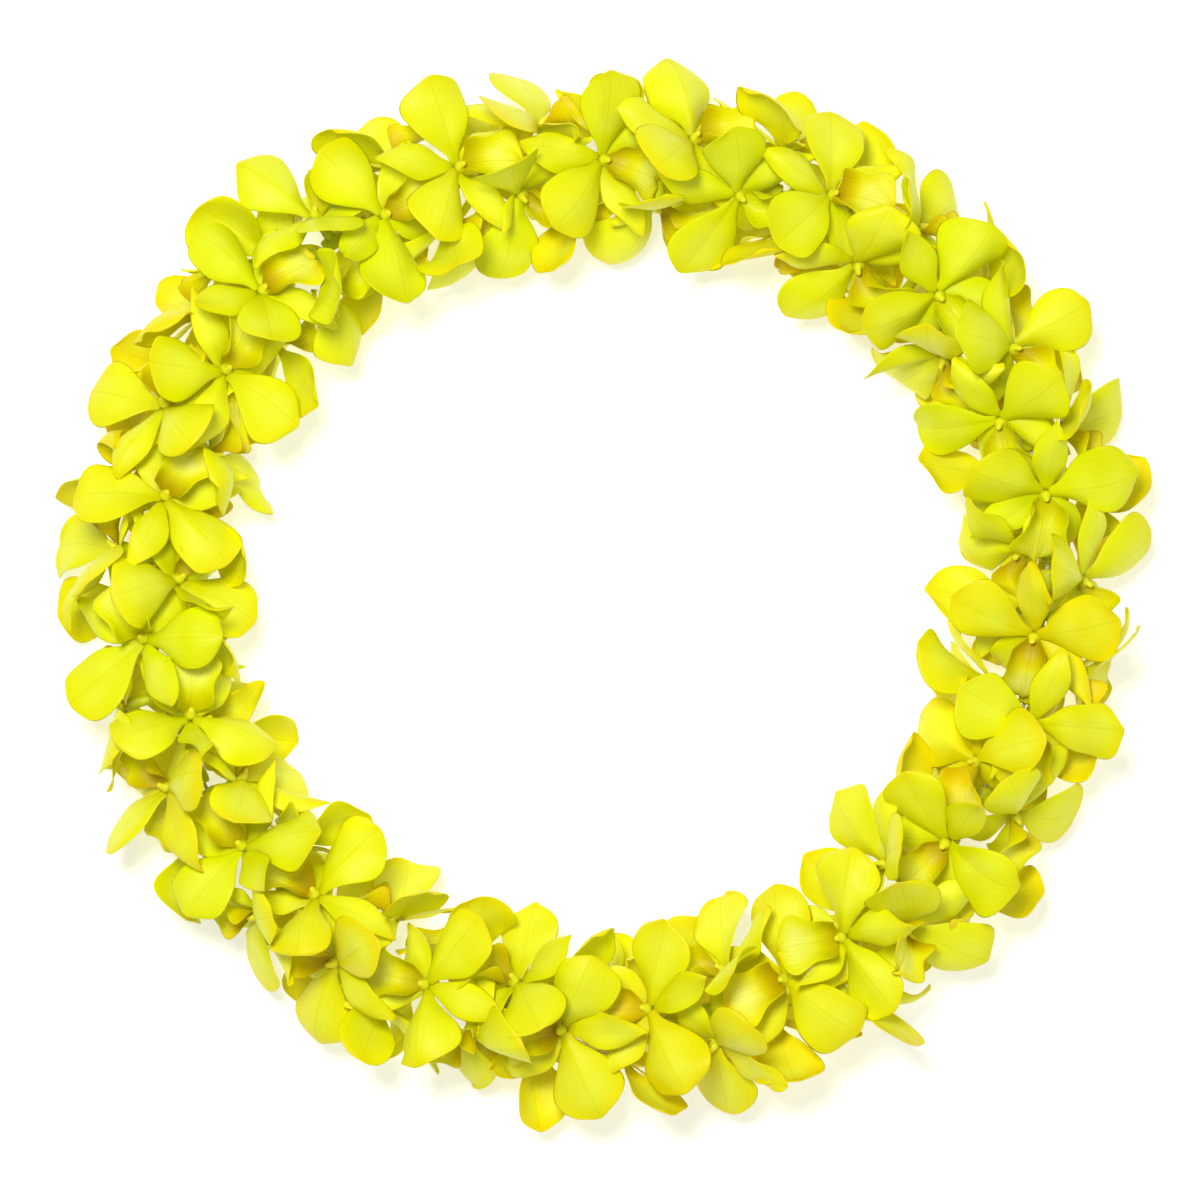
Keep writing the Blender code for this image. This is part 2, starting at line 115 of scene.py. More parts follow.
# The room that each bloom takes
# A bloom opens three sepals, two petals and a lip from the top of its base. On the string each of them bends, turns
# or stays small where its neighbours leave it no room, and the lowest ones are pressed flat against the table.
SLEEVE_RADIUS = 0.0038
SLEEVE_END_GAP = 0.0004
NECK_RADIUS = 0.0024
HUB_RADIUS = 0.0030
HUB_BAND = 0.0011
COLUMN_LENGTH = 0.0044
COLUMN_NOD = 0.0012
BLADE_THICKNESS = 0.0008
BLADE_ROOM = 0.00045
CLEAR_OF_HUB = 0.16
BLADE_STEPS = 10
ROOT_WIDTH = 0.32
FLOOR = 0.0
UPRIGHT_ACROSS = 0.05
UPRIGHT_ALONG = 0.1
LANDING_SHIFT = 2
Tepal = namedtuple(
    "Tepal", "name angle hub_side band length width widest blunt lift recurve crown middle tip"
)
TEPALS = (
    Tepal("lip", 180, 180, 1, 0.0235, 0.0205, 0.54, 0.70, 52, 66, -0.50, 4, 0.55),
    Tepal("left_petal", 68, 60, 1, 0.0330, 0.0252, 0.60, 0.80, 24, 34, 0.16, 6, 0.52),
    Tepal("right_petal", -68, -60, 1, 0.0330, 0.0252, 0.60, 0.80, 24, 34, 0.16, 6, 0.52),
    Tepal("dorsal_sepal", 0, 0, -1, 0.0315, 0.0156, 0.45, 0.85, 10, 22, 0.25, 5, 0),
    Tepal("left_sepal", 141, 120, -1, 0.0310, 0.0150, 0.38, 0.95, 12, 44, 0.25, 4, 0),
    Tepal("right_sepal", -141, -120, -1, 0.0310, 0.0150, 0.38, 0.95, 12, 44, 0.25, 4, 0),
)
GIVE_LIFT = math.radians(46)
GIVE_SIDE = math.radians(20)
GIVE_RECURVE = math.radians(40)
GIVE_TWIST = math.radians(40)
PLAY = 0.34
MOST_GIVE = 1.3
SIZES = (1.0, 0.9, 0.8, 0.7, 0.6, 0.5)
SIZE_PLAY = (0.94, 1.04)
TRIES = 70
LAST_TRIES = 200
WINDOW = 8
Pose = namedtuple("Pose", "lift sideways recurve twist size")
Placed = namedtuple("Placed", "bloom tree centre reach")


def hub_point(bloom, corner, level):
    """A corner of the hub's six-sided rings. Corner c is between the faces at 60 c and 60 (c + 1) degrees."""
    angle = math.radians(30 + 60 * corner)
    spoke = math.cos(angle) * bloom.dorsal + math.sin(angle) * bloom.side
    return bloom.hub + spoke * HUB_RADIUS + bloom.facing * (level * HUB_BAND)


def outline(tepal, t):
    """Half the tepal's width at t of its length."""
    bow = math.sin(math.pi * t ** (math.log(0.5) / math.log(tepal.widest))) ** tepal.blunt
    return tepal.width / 2 * max(bow, ROOT_WIDTH * (1 - t) ** 2)


def level_width(direction, across, height, half_width):
    """The width direction, rolled about the tepal as far as it takes to keep its edges off the surface."""
    level = UP.cross(direction)
    if level.length < UPRIGHT_ACROSS:
        return across
    level.normalize()
    steep = direction.cross(level)
    tilt = math.atan2(across.dot(steep), across.dot(level))
    room = max(height - FLOOR - BLADE_THICKNESS / 2, 0.0)
    limit = math.asin(min(room / half_width, 1.0)) if half_width > 0 else math.pi / 2
    if abs(tilt) <= math.pi / 2:
        tilt = max(-limit, min(limit, tilt))
    else:
        tilt = math.copysign(max(abs(tilt), math.pi - limit), tilt)
    return math.cos(tilt) * level + math.sin(tilt) * steep


def tepal_frames(bloom, tepal, pose):
    """Points, directions and width directions along a tepal's middle, and the step from which it lies flat.

    A tepal that meets the surface turns and lies along it. One that would have to fold under gives None.
    """
    hub_angle = math.radians(tepal.hub_side)
    spoke = math.cos(hub_angle) * bloom.dorsal + math.sin(hub_angle) * bloom.side
    to_face = spoke * (HUB_RADIUS * math.cos(math.pi / 6))
    point = bloom.hub + to_face + bloom.facing * (tepal.band * HUB_BAND / 2)
    angle = math.radians(tepal.angle) + pose.sideways
    away = math.cos(angle) * bloom.dorsal + math.sin(angle) * bloom.side
    across = bloom.facing.cross(away)
    step = tepal.length * pose.size / BLADE_STEPS
    lowest = FLOOR + BLADE_THICKNESS / 2
    frames, landed = [], None
    for i in range(BLADE_STEPS + 1):
        t = i / BLADE_STEPS
        rise = pose.lift - pose.recurve * t
        direction = math.cos(rise) * away + math.sin(rise) * bloom.facing
        width = Quaternion(direction, pose.twist * t) @ across
        if landed is None and point.z + direction.z * step < lowest:
            landed = i + 1
        if landed is not None:
            direction = Vector((direction.x, direction.y, 0.0))
            if direction.length < UPRIGHT_ALONG:
                return None
            direction.normalize()
        width = level_width(direction, width, point.z, outline(tepal, t) * pose.size)
        frames.append((point, direction, width))
        point = point + direction * step
        if landed is not None:
            point.z = lowest
    return frames, landed


def tepal_stations(tepal, landed):
    """The steps where the solid has rows of points: its middle, or near it where it lands, and its tip."""
    middle = tepal.middle
    if landed is not None and middle < landed <= middle + LANDING_SHIFT:
        middle = landed
    return middle, BLADE_STEPS


def blade_rows(bloom, tepal, pose, room=0.0):
    """Rows of (front, back) points at the tepal's stations. room makes the blade larger all round."""
    found = tepal_frames(bloom, tepal, pose)
    if found is None:
        return None
    frames, landed = found
    half = BLADE_THICKNESS / 2 + room
    rows = []
    for station in tepal_stations(tepal, landed):
        point, direction, width = frames[station]
        sides, reach = (-1, 0, 1), outline(tepal, station / BLADE_STEPS) * pose.size + room
        if station == BLADE_STEPS:
            point = point + direction * room
            sides, reach = (-1, 1) if tepal.tip else (0,), tepal.width / 2 * tepal.tip * pose.size + room
        crown = 0.0 if landed is not None and station >= landed else tepal.crown
        normal = direction.cross(width)
        row = []
        for side in sides:
            middle = point + width * (side * reach) - normal * (abs(side) * crown * reach)
            front, back = middle + normal * half, middle - normal * half
            lift = Vector((0, 0, max(FLOOR - room - min(front.z, back.z), 0.0)))
            row.append((front + lift, back + lift))
        rows.append(row)
    return rows


def strip(a, b):
    """Triangles between two rows of indices, of one to three points each."""
    if len(a) == 2 and len(b) == 3:
        return [(a[0], b[0], b[1]), (a[0], b[1], a[1]), (a[1], b[1], b[2])]
    if len(a) == 3 and len(b) == 2:
        return [(a[0], b[0], a[1]), (a[1], b[0], b[1]), (a[1], b[1], a[2])]
    if len(b) == 1:
        return [(p, b[0], q) for p, q in zip(a, a[1:])]
    pairs = zip(zip(a, a[1:]), zip(b, b[1:]))
    return [t for (p, q), (r, s) in pairs for t in ((p, r, s), (p, s, q))]


def blade_faces(rows):
    """Triangles of a closed blade whose first row is open to the hub. rows hold (front, back) indices."""
    faces = []
    for a, b in zip(rows, rows[1:]):
        front = strip([f for f, _ in a], [f for f, _ in b])
        back = strip([k for _, k in a], [k for _, k in b])
        faces += front + [(p, r, q) for p, q, r in back]
    left = [row[0] for row in rows]
    right = [row[-1] for row in rows]
    for (f0, k0), (f1, k1) in zip(left, left[1:]):
        faces += [(f0, k0, k1), (f0, k1, f1)]
    for (f0, k0), (f1, k1) in zip(right, right[1:]):
        faces += [(f0, f1, k1), (f0, k1, k0)]
    if len(rows[-1]) == 2:
        (f0, k0), (f1, k1) = rows[-1]
        faces += [(f0, k0, k1), (f0, k1, f1)]
    return faces


def root_row(bloom, tepal):
    corner = tepal.hub_side // 60
    upper, lower = (1, 0) if tepal.band > 0 else (0, -1)
    corners = (corner - 1, corner)
    return [(hub_point(bloom, c, upper), hub_point(bloom, c, lower)) for c in corners]


def blade_tree(bloom, tepal, pose, room=0.0, begin=0.0):
    """The blade as a closed surface for testing. begin leaves out that part of its first stretch."""
    rows = blade_rows(bloom, tepal, pose, room)
    if rows is None:
        return None
    (f0, k0), (f1, k1) = root_row(bloom, tepal)
    out, aside = bloom.facing * room, (f1 - f0).normalized() * room
    corners = ((f0 + out - aside, k0 - out - aside), (f1 + out + aside, k1 - out + aside))
    root = [
        (f.lerp(rows[0][i][0], begin), k.lerp(rows[0][i][1], begin))
        for i, (f, k) in zip((0, 2), corners)
    ]
    points, indexed = [], []
    for row in [root] + rows:
        indexed.append([])
        for front, back in row:
            indexed[-1].append((len(points), len(points) + 1))
            points += [front, back]
    (f0, k0), (f1, k1) = indexed[0]
    faces = blade_faces(indexed) + [(f0, k0, k1), (f0, k1, f1)]
    centre = sum(points, Vector()) / len(points)
    reach = max((p - centre).length for p in points)
    return Placed(bloom, BVHTree.FromPolygons(points, faces, all_triangles=True), centre, reach)


def is_clear(blade, others):
    for other in others:
        near = blade.reach + other.reach
        if (blade.centre - other.centre).length_squared < near * near and blade.tree.overlap(other.tree):
            return False
    return True


def draw_pose(tepal, rng, give, size):
    """A pose near the tepal's own, further from it the more it gives."""

    def vary(most):
        return rng.uniform(-1, 1) * most * (PLAY + (1 - PLAY) * min(give, MOST_GIVE))

    return Pose(
        math.radians(tepal.lift) + vary(GIVE_LIFT),
        vary(GIVE_SIDE),
        math.radians(tepal.recurve) + vary(GIVE_RECURVE),
        vary(GIVE_TWIST),
        size * rng.uniform(*SIZE_PLAY),
    )


def settle(number, bloom, tepal, others, own):
    """The first pose in which the tepal lies clear: bent more and more from its own shape, then smaller."""
    rng = random.Random(SEED * 100000 + number * 10 + TEPALS.index(tepal))
    for size in SIZES:
        for i in range(TRIES if size > SIZES[-1] else LAST_TRIES):
            pose = draw_pose(tepal, rng, i / TRIES, size)
            free = blade_tree(bloom, tepal, pose, begin=CLEAR_OF_HUB)
            if free is None or not is_clear(free, own):
                continue
            if is_clear(blade_tree(bloom, tepal, pose, room=BLADE_ROOM), others):
                return pose, free
    return None, None


def closed_band(lower, upper, open_faces=()):
    """Triangles between two six-sided rings of indices. Face i lies between corners i - 1 and i."""
    faces = []
    for i in range(6):
        if i not in open_faces:
            a, b, c, d = lower[i - 1], lower[i], upper[i], upper[i - 1]
            faces += [(a, b, c), (a, c, d)]
    return faces


def neck_band(neck, ring):
    """Triangles between the neck's three corners, each under a face of the hub, and the hub's lowest ring."""
    faces = []
    for i in range(3):
        a, b = neck[i], neck[(i + 1) % 3]
        before, after, beyond = ring[2 * i - 1], ring[2 * i], ring[2 * i + 1]
        faces += [(a, after, before), (a, b, beyond), (a, beyond, after)]
    return faces


def core_points(bloom):
    """The hub's three rings of six, the three ends of the neck on the thread, and the end of the column."""
    hub = [hub_point(bloom, c, level) for level in (-1, 0, 1) for c in range(6)]
    neck = []
    for angle in (0, 120, 240):
        spoke = Quaternion(bloom.facing, math.radians(angle)) @ bloom.dorsal
        spoke -= spoke.project(bloom.radial)
        neck.append(bloom.seat + spoke.normalized() * NECK_RADIUS)
    column = bloom.hub + bloom.facing * (HUB_BAND + COLUMN_LENGTH) - bloom.dorsal * COLUMN_NOD
    return hub + neck + [column]


def bloom_shape(bloom, poses):
    """Points and faces of one closed bloom: neck, hub and column, and the tepals grown from the hub."""
    points = core_points(bloom)
    low, middle, high = ([6 * n + c for c in range(6)] for n in range(3))
    neck, column = [18, 19, 20], 21
    grown = [t for t in TEPALS if poses.get(t.name)]
    inner = {t.hub_side // 60 % 6 for t in grown if t.band > 0}
    outer = {t.hub_side // 60 % 6 for t in grown if t.band < 0}
    faces = neck_band(neck, low) + closed_band(low, middle, outer) + closed_band(middle, high, inner)
    faces += [(high[c - 1], high[c], column) for c in range(6)] + [tuple(reversed(neck))]
    for tepal in grown:
        front, back = (high, middle) if tepal.band > 0 else (middle, low)
        side = tepal.hub_side // 60
        rows = [[(front[(side - 1) % 6], back[(side - 1) % 6]), (front[side % 6], back[side % 6])]]
        for row in blade_rows(bloom, tepal, poses[tepal.name]):
            rows.append([])
            for pair in row:
                rows[-1].append((len(points), len(points) + 1))
                points += pair
        faces += blade_faces(rows)
    return points, faces


def placed_solid(points, faces, bloom=None):
    centre = sum(points, Vector()) / len(points)
    reach = max((p - centre).length for p in points)
    return Placed(bloom, BVHTree.FromPolygons(points, faces), centre, reach)


def rod_mesh(name, a, b, radius, sides):
    """A straight prism from a to b."""
    shape = bmesh.new()
    length = (b - a).length
    bmesh.ops.create_cone(
        shape, cap_ends=True, segments=sides, radius1=radius, radius2=radius, depth=length
    )
    turn = (b - a).to_track_quat("Z", "Y").to_matrix().to_4x4()
    shape.transform(Matrix.Translation((a + b) / 2) @ turn)
    mesh = bpy.data.meshes.new(name)
    shape.to_mesh(mesh)
    shape.free()
    return mesh


def sleeve_mesh(a, b):
    gap = (b - a).normalized() * SLEEVE_END_GAP
    return rod_mesh("sleeve", a + gap, b - gap, SLEEVE_RADIUS, 4)


def knot_meshes(joints):
    """The knot between the last sleeve and the first, and the two cut ends of the thread."""
    along = (joints[0] - joints[-1]).normalized()
    middle = (joints[0] + joints[-1]) / 2
    shape = bmesh.new()
    bmesh.ops.create_icosphere(shape, subdivisions=2, radius=KNOT_RADIUS, matrix=Matrix.Translation(middle))
    knot = bpy.data.meshes.new("knot")
    shape.to_mesh(knot)
    shape.free()
    outward = UP.cross(along).normalized()
    meshes = [knot]
    for side in (-1, 1):
        drop = (outward * (side * TAIL_SPREAD) - UP + along * (side * TAIL_SLANT)).normalized()
        meshes.append(rod_mesh("tail", middle, middle + drop * TAIL_LENGTH, THREAD_RADIUS, 4))
    return meshes


def lay_out():
    """Blooms and the pose of each tepal. The topmost blooms keep their shape and the others make room."""
    joints = thread_joints()
    blooms = []
    for a, b in zip(joints, joints[1:]):
        for n in range(BLOOMS_A_NODE):
            seat = a.lerp(b, (n + 0.5) / BLOOMS_A_NODE)
            blooms.append(string_bloom(len(blooms), seat, (b - a).normalized()))
    near_it = {n: [] for n in range(BLOOM_COUNT)}
    for n, bloom in enumerate(blooms):
        near_it[n].append(placed_solid(*bloom_shape(bloom, {}), bloom))
    firm = [(n * BLOOMS_A_NODE, sleeve_mesh(a, b)) for n, (a, b) in enumerate(zip(joints, joints[1:]))]
    firm += [(0, mesh) for mesh in knot_meshes(joints)]
    for n, mesh in firm:
        points = [v.co.copy() for v in mesh.vertices]
        near_it[n].append(placed_solid(points, [tuple(p.vertices) for p in mesh.polygons]))
        bpy.data.meshes.remove(mesh)
    poses = [{} for _ in blooms]
    own = [[] for _ in blooms]
    topmost_first = sorted(range(BLOOM_COUNT), key=lambda n: -blooms[n].radial.z)
    inner_whorl, outer_whorl = TEPALS[:3], TEPALS[3:]
    for whorl in (inner_whorl, outer_whorl):
        for n in topmost_first:
            window = [(n + k) % BLOOM_COUNT for k in range(-WINDOW, WINDOW + 1)]
            others = [p for k in window for p in near_it[k] if p.bloom is not blooms[n]]
            for tepal in whorl:
                pose, blade = settle(n, blooms[n], tepal, others, own[n])
                poses[n][tepal.name] = pose
                if pose:
                    own[n].append(blade)
                    near_it[n].append(blade_tree(blooms[n], tepal, pose))
    return joints, blooms, poses


joints, blooms, poses = lay_out()
corners = [
    p
    for bloom, opened in zip(blooms, poses)
    for tepal in TEPALS
    if opened[tepal.name]
    for row in blade_rows(bloom, tepal, opened[tepal.name])
    for pair in row
    for p in pair
]
room = [(min(p[axis] for p in corners), max(p[axis] for p in corners)) for axis in range(3)]
to_centre = Matrix.Translation((-sum(room[0]) / 2, -sum(room[1]) / 2, 0))

# Skin of the petals and sepals
# Fresh dendrobium petal: thin, satiny, lemon yellow with some lime towards its root, and with fine veins that fan
# out along it. Its thin edge is painted gold as painted light through it, its middle is painted paler as a painted
# highlight, and its middle groove is painted darker as painted shade. The lower blooms are painted more golden as
# painted shade, so their shade reads gold and not grey.


def linear(colour):
    """An sRGB hex colour as linear red, green, blue and alpha."""
    parts = (int(colour[i : i + 2], 16) / 255 for i in (1, 3, 5))
    return (*(c / 12.92 if c <= 0.04045 else ((c + 0.055) / 1.055) ** 2.4 for c in parts), 1)


def add(tree, kind, settings=None, inputs=None):
    """Adds a node with its settings, and links or fills its inputs."""
    node = tree.nodes.new(kind)
    for name, value in (settings or {}).items():
        setattr(node, name, value)
    for name, value in (inputs or {}).items():
        if isinstance(value, bpy.types.NodeSocket):
            tree.links.new(value, node.inputs[name])
        else:
            node.inputs[name].default_value = value
    return node


def eased(tree, value, low, high, start=0.0, end=1.0):
    """A smooth step from start to end as the value goes from low to high."""
    limits = {"Value": value, "From Min": low, "From Max": high, "To Min": start, "To Max": end}
    return add(tree, "ShaderNodeMapRange", {"interpolation_type": "SMOOTHSTEP"}, limits).outputs[0]


def blended(tree, share, below, above):
    """Two colours mixed, with that share of the one above."""
    return add(tree, "ShaderNodeMix", {"data_type": "RGBA"}, {0: share, 6: below, 7: above}).outputs[2]


def product(tree, a, b):
    return add(tree, "ShaderNodeMath", {"operation": "MULTIPLY"}, {0: a, 1: b}).outputs[0]


def scaled(tree, value, by, plus=0.0):
    return add(tree, "ShaderNodeMath", {"operation": "MULTIPLY_ADD"}, {0: value, 1: by, 2: plus}).outputs[0]


def flower_skin(name, along_colours, pale, pale_from, lime, gold, shade, vein_count, vein_depth, gloss):
    """A petal's skin. along_colours run from its root to its tip, pale is the colour of its middle, from pale_from
    of its length on, lime and gold are how far one differs from another, and shade is the colour of its veins.
    On the petals the pale middle is a painted highlight. Gold also serves as painted light through the thin edge and
    as painted shade on the lower blooms, and shade also darkens the middle groove as painted shade."""
    skin = bpy.data.materials.new(name)
    skin.use_nodes = True
    tree = skin.node_tree
    shader = tree.nodes["Principled BSDF"]
    across = add(tree, "ShaderNodeAttribute", {"attribute_name": "across"}).outputs["Fac"]
    along = add(tree, "ShaderNodeAttribute", {"attribute_name": "along"}).outputs["Fac"]
    tint = add(tree, "ShaderNodeAttribute", {"attribute_name": "tint"}).outputs["Fac"]
    place = add(tree, "ShaderNodeTexCoord").outputs["Object"]
    patches = add(tree, "ShaderNodeTexNoise", None, {"Vector": place, "Scale": 75, "Detail": 1}).outputs["Fac"]
    grain = add(tree, "ShaderNodeTexNoise", None, {"Vector": place, "Scale": 1800, "Detail": 0}).outputs["Fac"]
    off_middle = add(tree, "ShaderNodeMath", {"operation": "ABSOLUTE"}, {0: across}).outputs[0]

    turns = scaled(tree, scaled(tree, patches, 0.12, across), math.pi * vein_count)
    wave = add(tree, "ShaderNodeMath", {"operation": "SINE"}, {0: turns}).outputs[0]
    veins = eased(tree, wave, 0.2, 1.0)
    midrib = eased(tree, off_middle, 0.01, 0.07, 1.0, 0.0)
    rim = eased(tree, off_middle, 0.86, 1.0)

    ramp = add(tree, "ShaderNodeValToRGB", None, {"Fac": along})
    while len(ramp.color_ramp.elements) < len(along_colours):
        ramp.color_ramp.elements.new(0.5)
    for element, (position, colour) in zip(ramp.color_ramp.elements, along_colours):
        element.position = position
        element.color = linear(colour)
    limed = blended(tree, eased(tree, tint, 0.0, -1.0, 0.0, 0.7), ramp.outputs["Color"], linear(lime))
    gilded = blended(tree, eased(tree, tint, 0.0, 1.0, 0.0, 0.7), limed, linear(gold))
    # The pale middle: a painted highlight where a petal bulges towards the overhead light, fading to its edges and
    # tip.
    inside = product(tree, eased(tree, off_middle, 0.15, 0.95, 1.0, 0.0), eased(tree, along, 1.0, 0.7))
    inside = product(tree, inside, eased(tree, along, pale_from, pale_from + 0.3))
    paled = blended(tree, product(tree, inside, scaled(tree, patches, 1.6, -0.3)), gilded, linear(pale))
    # Darker along the veins, and down the middle groove as painted shade.
    lined = blended(tree, scaled(tree, midrib, 0.11, scaled(tree, veins, 0.06)), paled, linear(shade))
    # A thin gold line at the edge: painted light shining through the thin edge.
    colour = blended(tree, scaled(tree, rim, 0.1), lined, linear(gold))
    tree.links.new(colour, shader.inputs["Base Color"])

    ridges = scaled(tree, veins, -0.5, scaled(tree, grain, 0.35))
    relief = scaled(tree, midrib, -0.9, ridges)
    bump = add(tree, "ShaderNodeBump", None, {"Height": relief, "Strength": vein_depth, "Distance": 0.0002})
    tree.links.new(bump.outputs[0], shader.inputs["Normal"])
    shader.inputs["Roughness"].default_value = gloss
    shader.inputs["Specular IOR Level"].default_value = 0.2
    return skin


petal_skin = flower_skin(
    "dendrobium_petal_skin",
    ((0.0, "#CCC800"), (0.1, "#E6E600"), (0.45, "#F6F600"), (0.85, "#FAF400"), (1.0, "#FCEC00")),
    # pale: the painted highlight in the middle of each petal and sepal.
    pale="#FAFE44",
    pale_from=0.12,
    lime="#E8F400",
    gold="#FCE200",
    shade="#CCCE00",
    vein_count=11,
    vein_depth=0.22,
    gloss=0.44,
)

# Petals and sepals
# The two broad petals are blunt and gently rounded, with a narrow root. The dorsal sepal and the two lateral
# sepals are narrower and pointed, with their edges rolled back. Each is one skin about half a millimetre thick.
SKIN_THICKNESS = 0.00052
ROOT_TUCK = 0.0016  # how far a root reaches into the top of the base


def bump_at(t, centre, spread):
    return math.exp(-(((t - centre) / spread) ** 2))


def pressed_tepal(tepal, columns, edge, pull):
    """A tepal as if pressed in a book: flat, life size, along +Y from its root. edge lists how far along it is and
    how wide as a part of its width, and pull is how far its tip's corners are rounded off."""
    bpy.ops.object.select_all(action="DESELECT")
    bpy.ops.mesh.primitive_grid_add(x_subdivisions=columns, y_subdivisions=len(edge) - 1, size=1)
    blade = bpy.context.object
    across = blade.data.attributes.new("across", "FLOAT", "POINT")
    along = blade.data.attributes.new("along", "FLOAT", "POINT")
    blade.data.attributes.new("tint", "FLOAT", "POINT")
    for i, v in enumerate(blade.data.vertices):
        t, half = edge[round((v.co.y + 0.5) * (len(edge) - 1))]
        x = math.copysign(abs(2 * v.co.x) ** 1.25, v.co.x)
        y = tepal.length * t * (1 - pull * x * x * max(t, 0.0) ** 7)
        v.co = (x * half * tepal.width / 2, y if t > 0 else -ROOT_TUCK, 0)
        across.data[i].value = x
        along.data[i].value = max(t, 0.0)
    pattern = blade.data
    pattern.name = "pressed_" + tepal.name
    bpy.data.objects.remove(blade)
    return pattern


PETAL_EDGE = (
    (0.0, 0.15), (0.07, 0.19), (0.16, 0.36), (0.27, 0.60), (0.39, 0.82), (0.51, 0.96),
    (0.63, 1.04), (0.74, 1.03), (0.85, 0.90), (0.94, 0.66), (1.0, 0.34),
)
DORSAL_EDGE = (
    (0.0, 0.24), (0.09, 0.36), (0.20, 0.60), (0.33, 0.85), (0.46, 0.98), (0.60, 0.92),
    (0.73, 0.74), (0.85, 0.50), (0.94, 0.27), (1.0, 0.10),
)
LATERAL_EDGE = (
    (0.0, 0.30), (0.09, 0.50), (0.20, 0.77), (0.33, 0.96), (0.46, 0.95), (0.60, 0.82),
    (0.73, 0.62), (0.85, 0.41), (0.94, 0.22), (1.0, 0.08),
)
pressed = {}
for tepal in TEPALS[1:]:
    if "petal" in tepal.name:
        pressed[tepal.name] = pressed_tepal(tepal, 6, PETAL_EDGE, pull=0.05)
    elif tepal.name == "dorsal_sepal":
        pressed[tepal.name] = pressed_tepal(tepal, 4, DORSAL_EDGE, pull=0.01)
    else:
        pressed[tepal.name] = pressed_tepal(tepal, 4, LATERAL_EDGE, pull=0.01)


def opened_tepal(bloom, tepal, pose, relief, tint, skin):
    """A copy of the pressed tepal, bent along its pose on the bloom. It doesn't reach past the lei's room."""
    frames, landed = tepal_frames(bloom, tepal, pose)
    pattern = pressed[tepal.name]
    mesh = pattern.copy()
    for i, v in enumerate(mesh.vertices):
        x, t = pattern.attributes["across"].data[i].value, pattern.attributes["along"].data[i].value
        place = min(v.co.y / tepal.length, 1.0) * BLADE_STEPS
        k = min(max(int(place), 0), BLADE_STEPS - 1)
        (p0, d0, w0), (p1, d1, w1) = frames[k], frames[k + 1]
        point = p0.lerp(p1, place - k)
        direction = d0.lerp(d1, place - k).normalized()
        width = w0.lerp(w1, place - k)
        width = (width - width.project(direction)).normalized()
        up = direction.cross(width)
        free = 1.0 if landed is None else min(max((landed - place) / 2, 0.0), 1.0)
        widening, aside, rise = relief(x, t)
        out = (v.co.x * widening + aside) * pose.size
        v.co = point - width * out + up * (rise * pose.size * free)
        for axis, (low, high) in enumerate(room):
            v.co[axis] = min(max(v.co[axis], low + SKIN_THICKNESS / 2), high - SKIN_THICKNESS / 2)
        mesh.attributes["tint"].data[i].value = tint
    mesh.materials.append(skin)
    return mesh


def petal_relief(tepal, rng):
    """How a petal or sepal rises and falls: rounded back at its sides, grooved down the middle, wavy at its edge,
    turned back or up at its tip, and a little fuller on one side."""
    edges = rng.uniform(0, math.tau), rng.uniform(0, math.tau)
    waves, depth = rng.uniform(0.7, 1.7), rng.uniform(0.0008, 0.0029)
    curl, fuller = rng.uniform(-0.0026, 0.0046), rng.uniform(-0.2, 0.2)
    crown, roll = 0.7 * tepal.crown + rng.uniform(-0.16, 0.24), rng.uniform(-0.3, 0.3)
    fold, broad, pointed = rng.uniform(-0.2, 0.5), rng.uniform(0.97, 1.08), rng.uniform(-0.4, 0.3)
    uneven, sway = rng.uniform(0.01, 0.07), rng.uniform(-0.0028, 0.0028)
    groove = 0.0006 if "petal" in tepal.name else 0.0005
    if "sepal" in tepal.name:
        curl *= 2
        pointed += 0.3

    def relief(x, t):
        half = tepal.width / 2 * math.sin(math.pi * min(max(t, 0.02), 0.95)) ** 0.8
        rise = half * (roll * x * t - crown * x * x * (0.8 + 0.6 * t) - fold * (abs(x) - 0.35))
        rise -= groove * max(0.0, 1 - abs(x) / 0.3) * math.sin(math.pi * min(t, 0.9))
        rise += depth * math.sin(edges[x > 0] + math.tau * waves * t) * abs(x) ** 2 * min(2 * t, 1.0)
        rise -= curl * max(0.0, (t - 0.6) / 0.4) ** 2
        widening = broad + fuller * x - pointed * max(0.0, (t - 0.7) / 0.3) ** 2
        widening += uneven * math.sin(2 * edges[x > 0] + math.tau * 1.6 * t)
        return widening, sway * t * t, rise

    return relief


# Lip
# The sixth tepal is the lip: a wide cup whose two side lobes fold up beside the column, with faint pale pleats
# inside, and a broad ruffled middle lobe that turns back at its rim. Its root is painted dark gold as painted shade
# in the deep throat.
lip_skin = flower_skin(
    "dendrobium_lip_skin",
    # The dark gold at the root is painted shade in the lip's deep throat.
    ((0.0, "#B49400"), (0.2, "#D4BC00"), (0.42, "#F4EC00"), (0.8, "#FAF200"), (1.0, "#FAE200")),
    pale="#F8FA7C",
    pale_from=0.3,
    lime="#EAF400",
    gold="#F8D800",
    shade="#D0C400",
    vein_count=13,
    vein_depth=0.5,
    gloss=0.42,
)
LIP_EDGE = (
    (0.0, 0.20), (0.08, 0.52), (0.16, 0.96), (0.25, 1.14), (0.33, 1.04), (0.41, 0.78),
    (0.50, 0.78), (0.60, 0.98), (0.71, 1.12), (0.82, 1.06), (0.92, 0.80), (1.0, 0.46),
)
pressed["lip"] = pressed_tepal(TEPALS[0], 10, LIP_EDGE, pull=0.08)


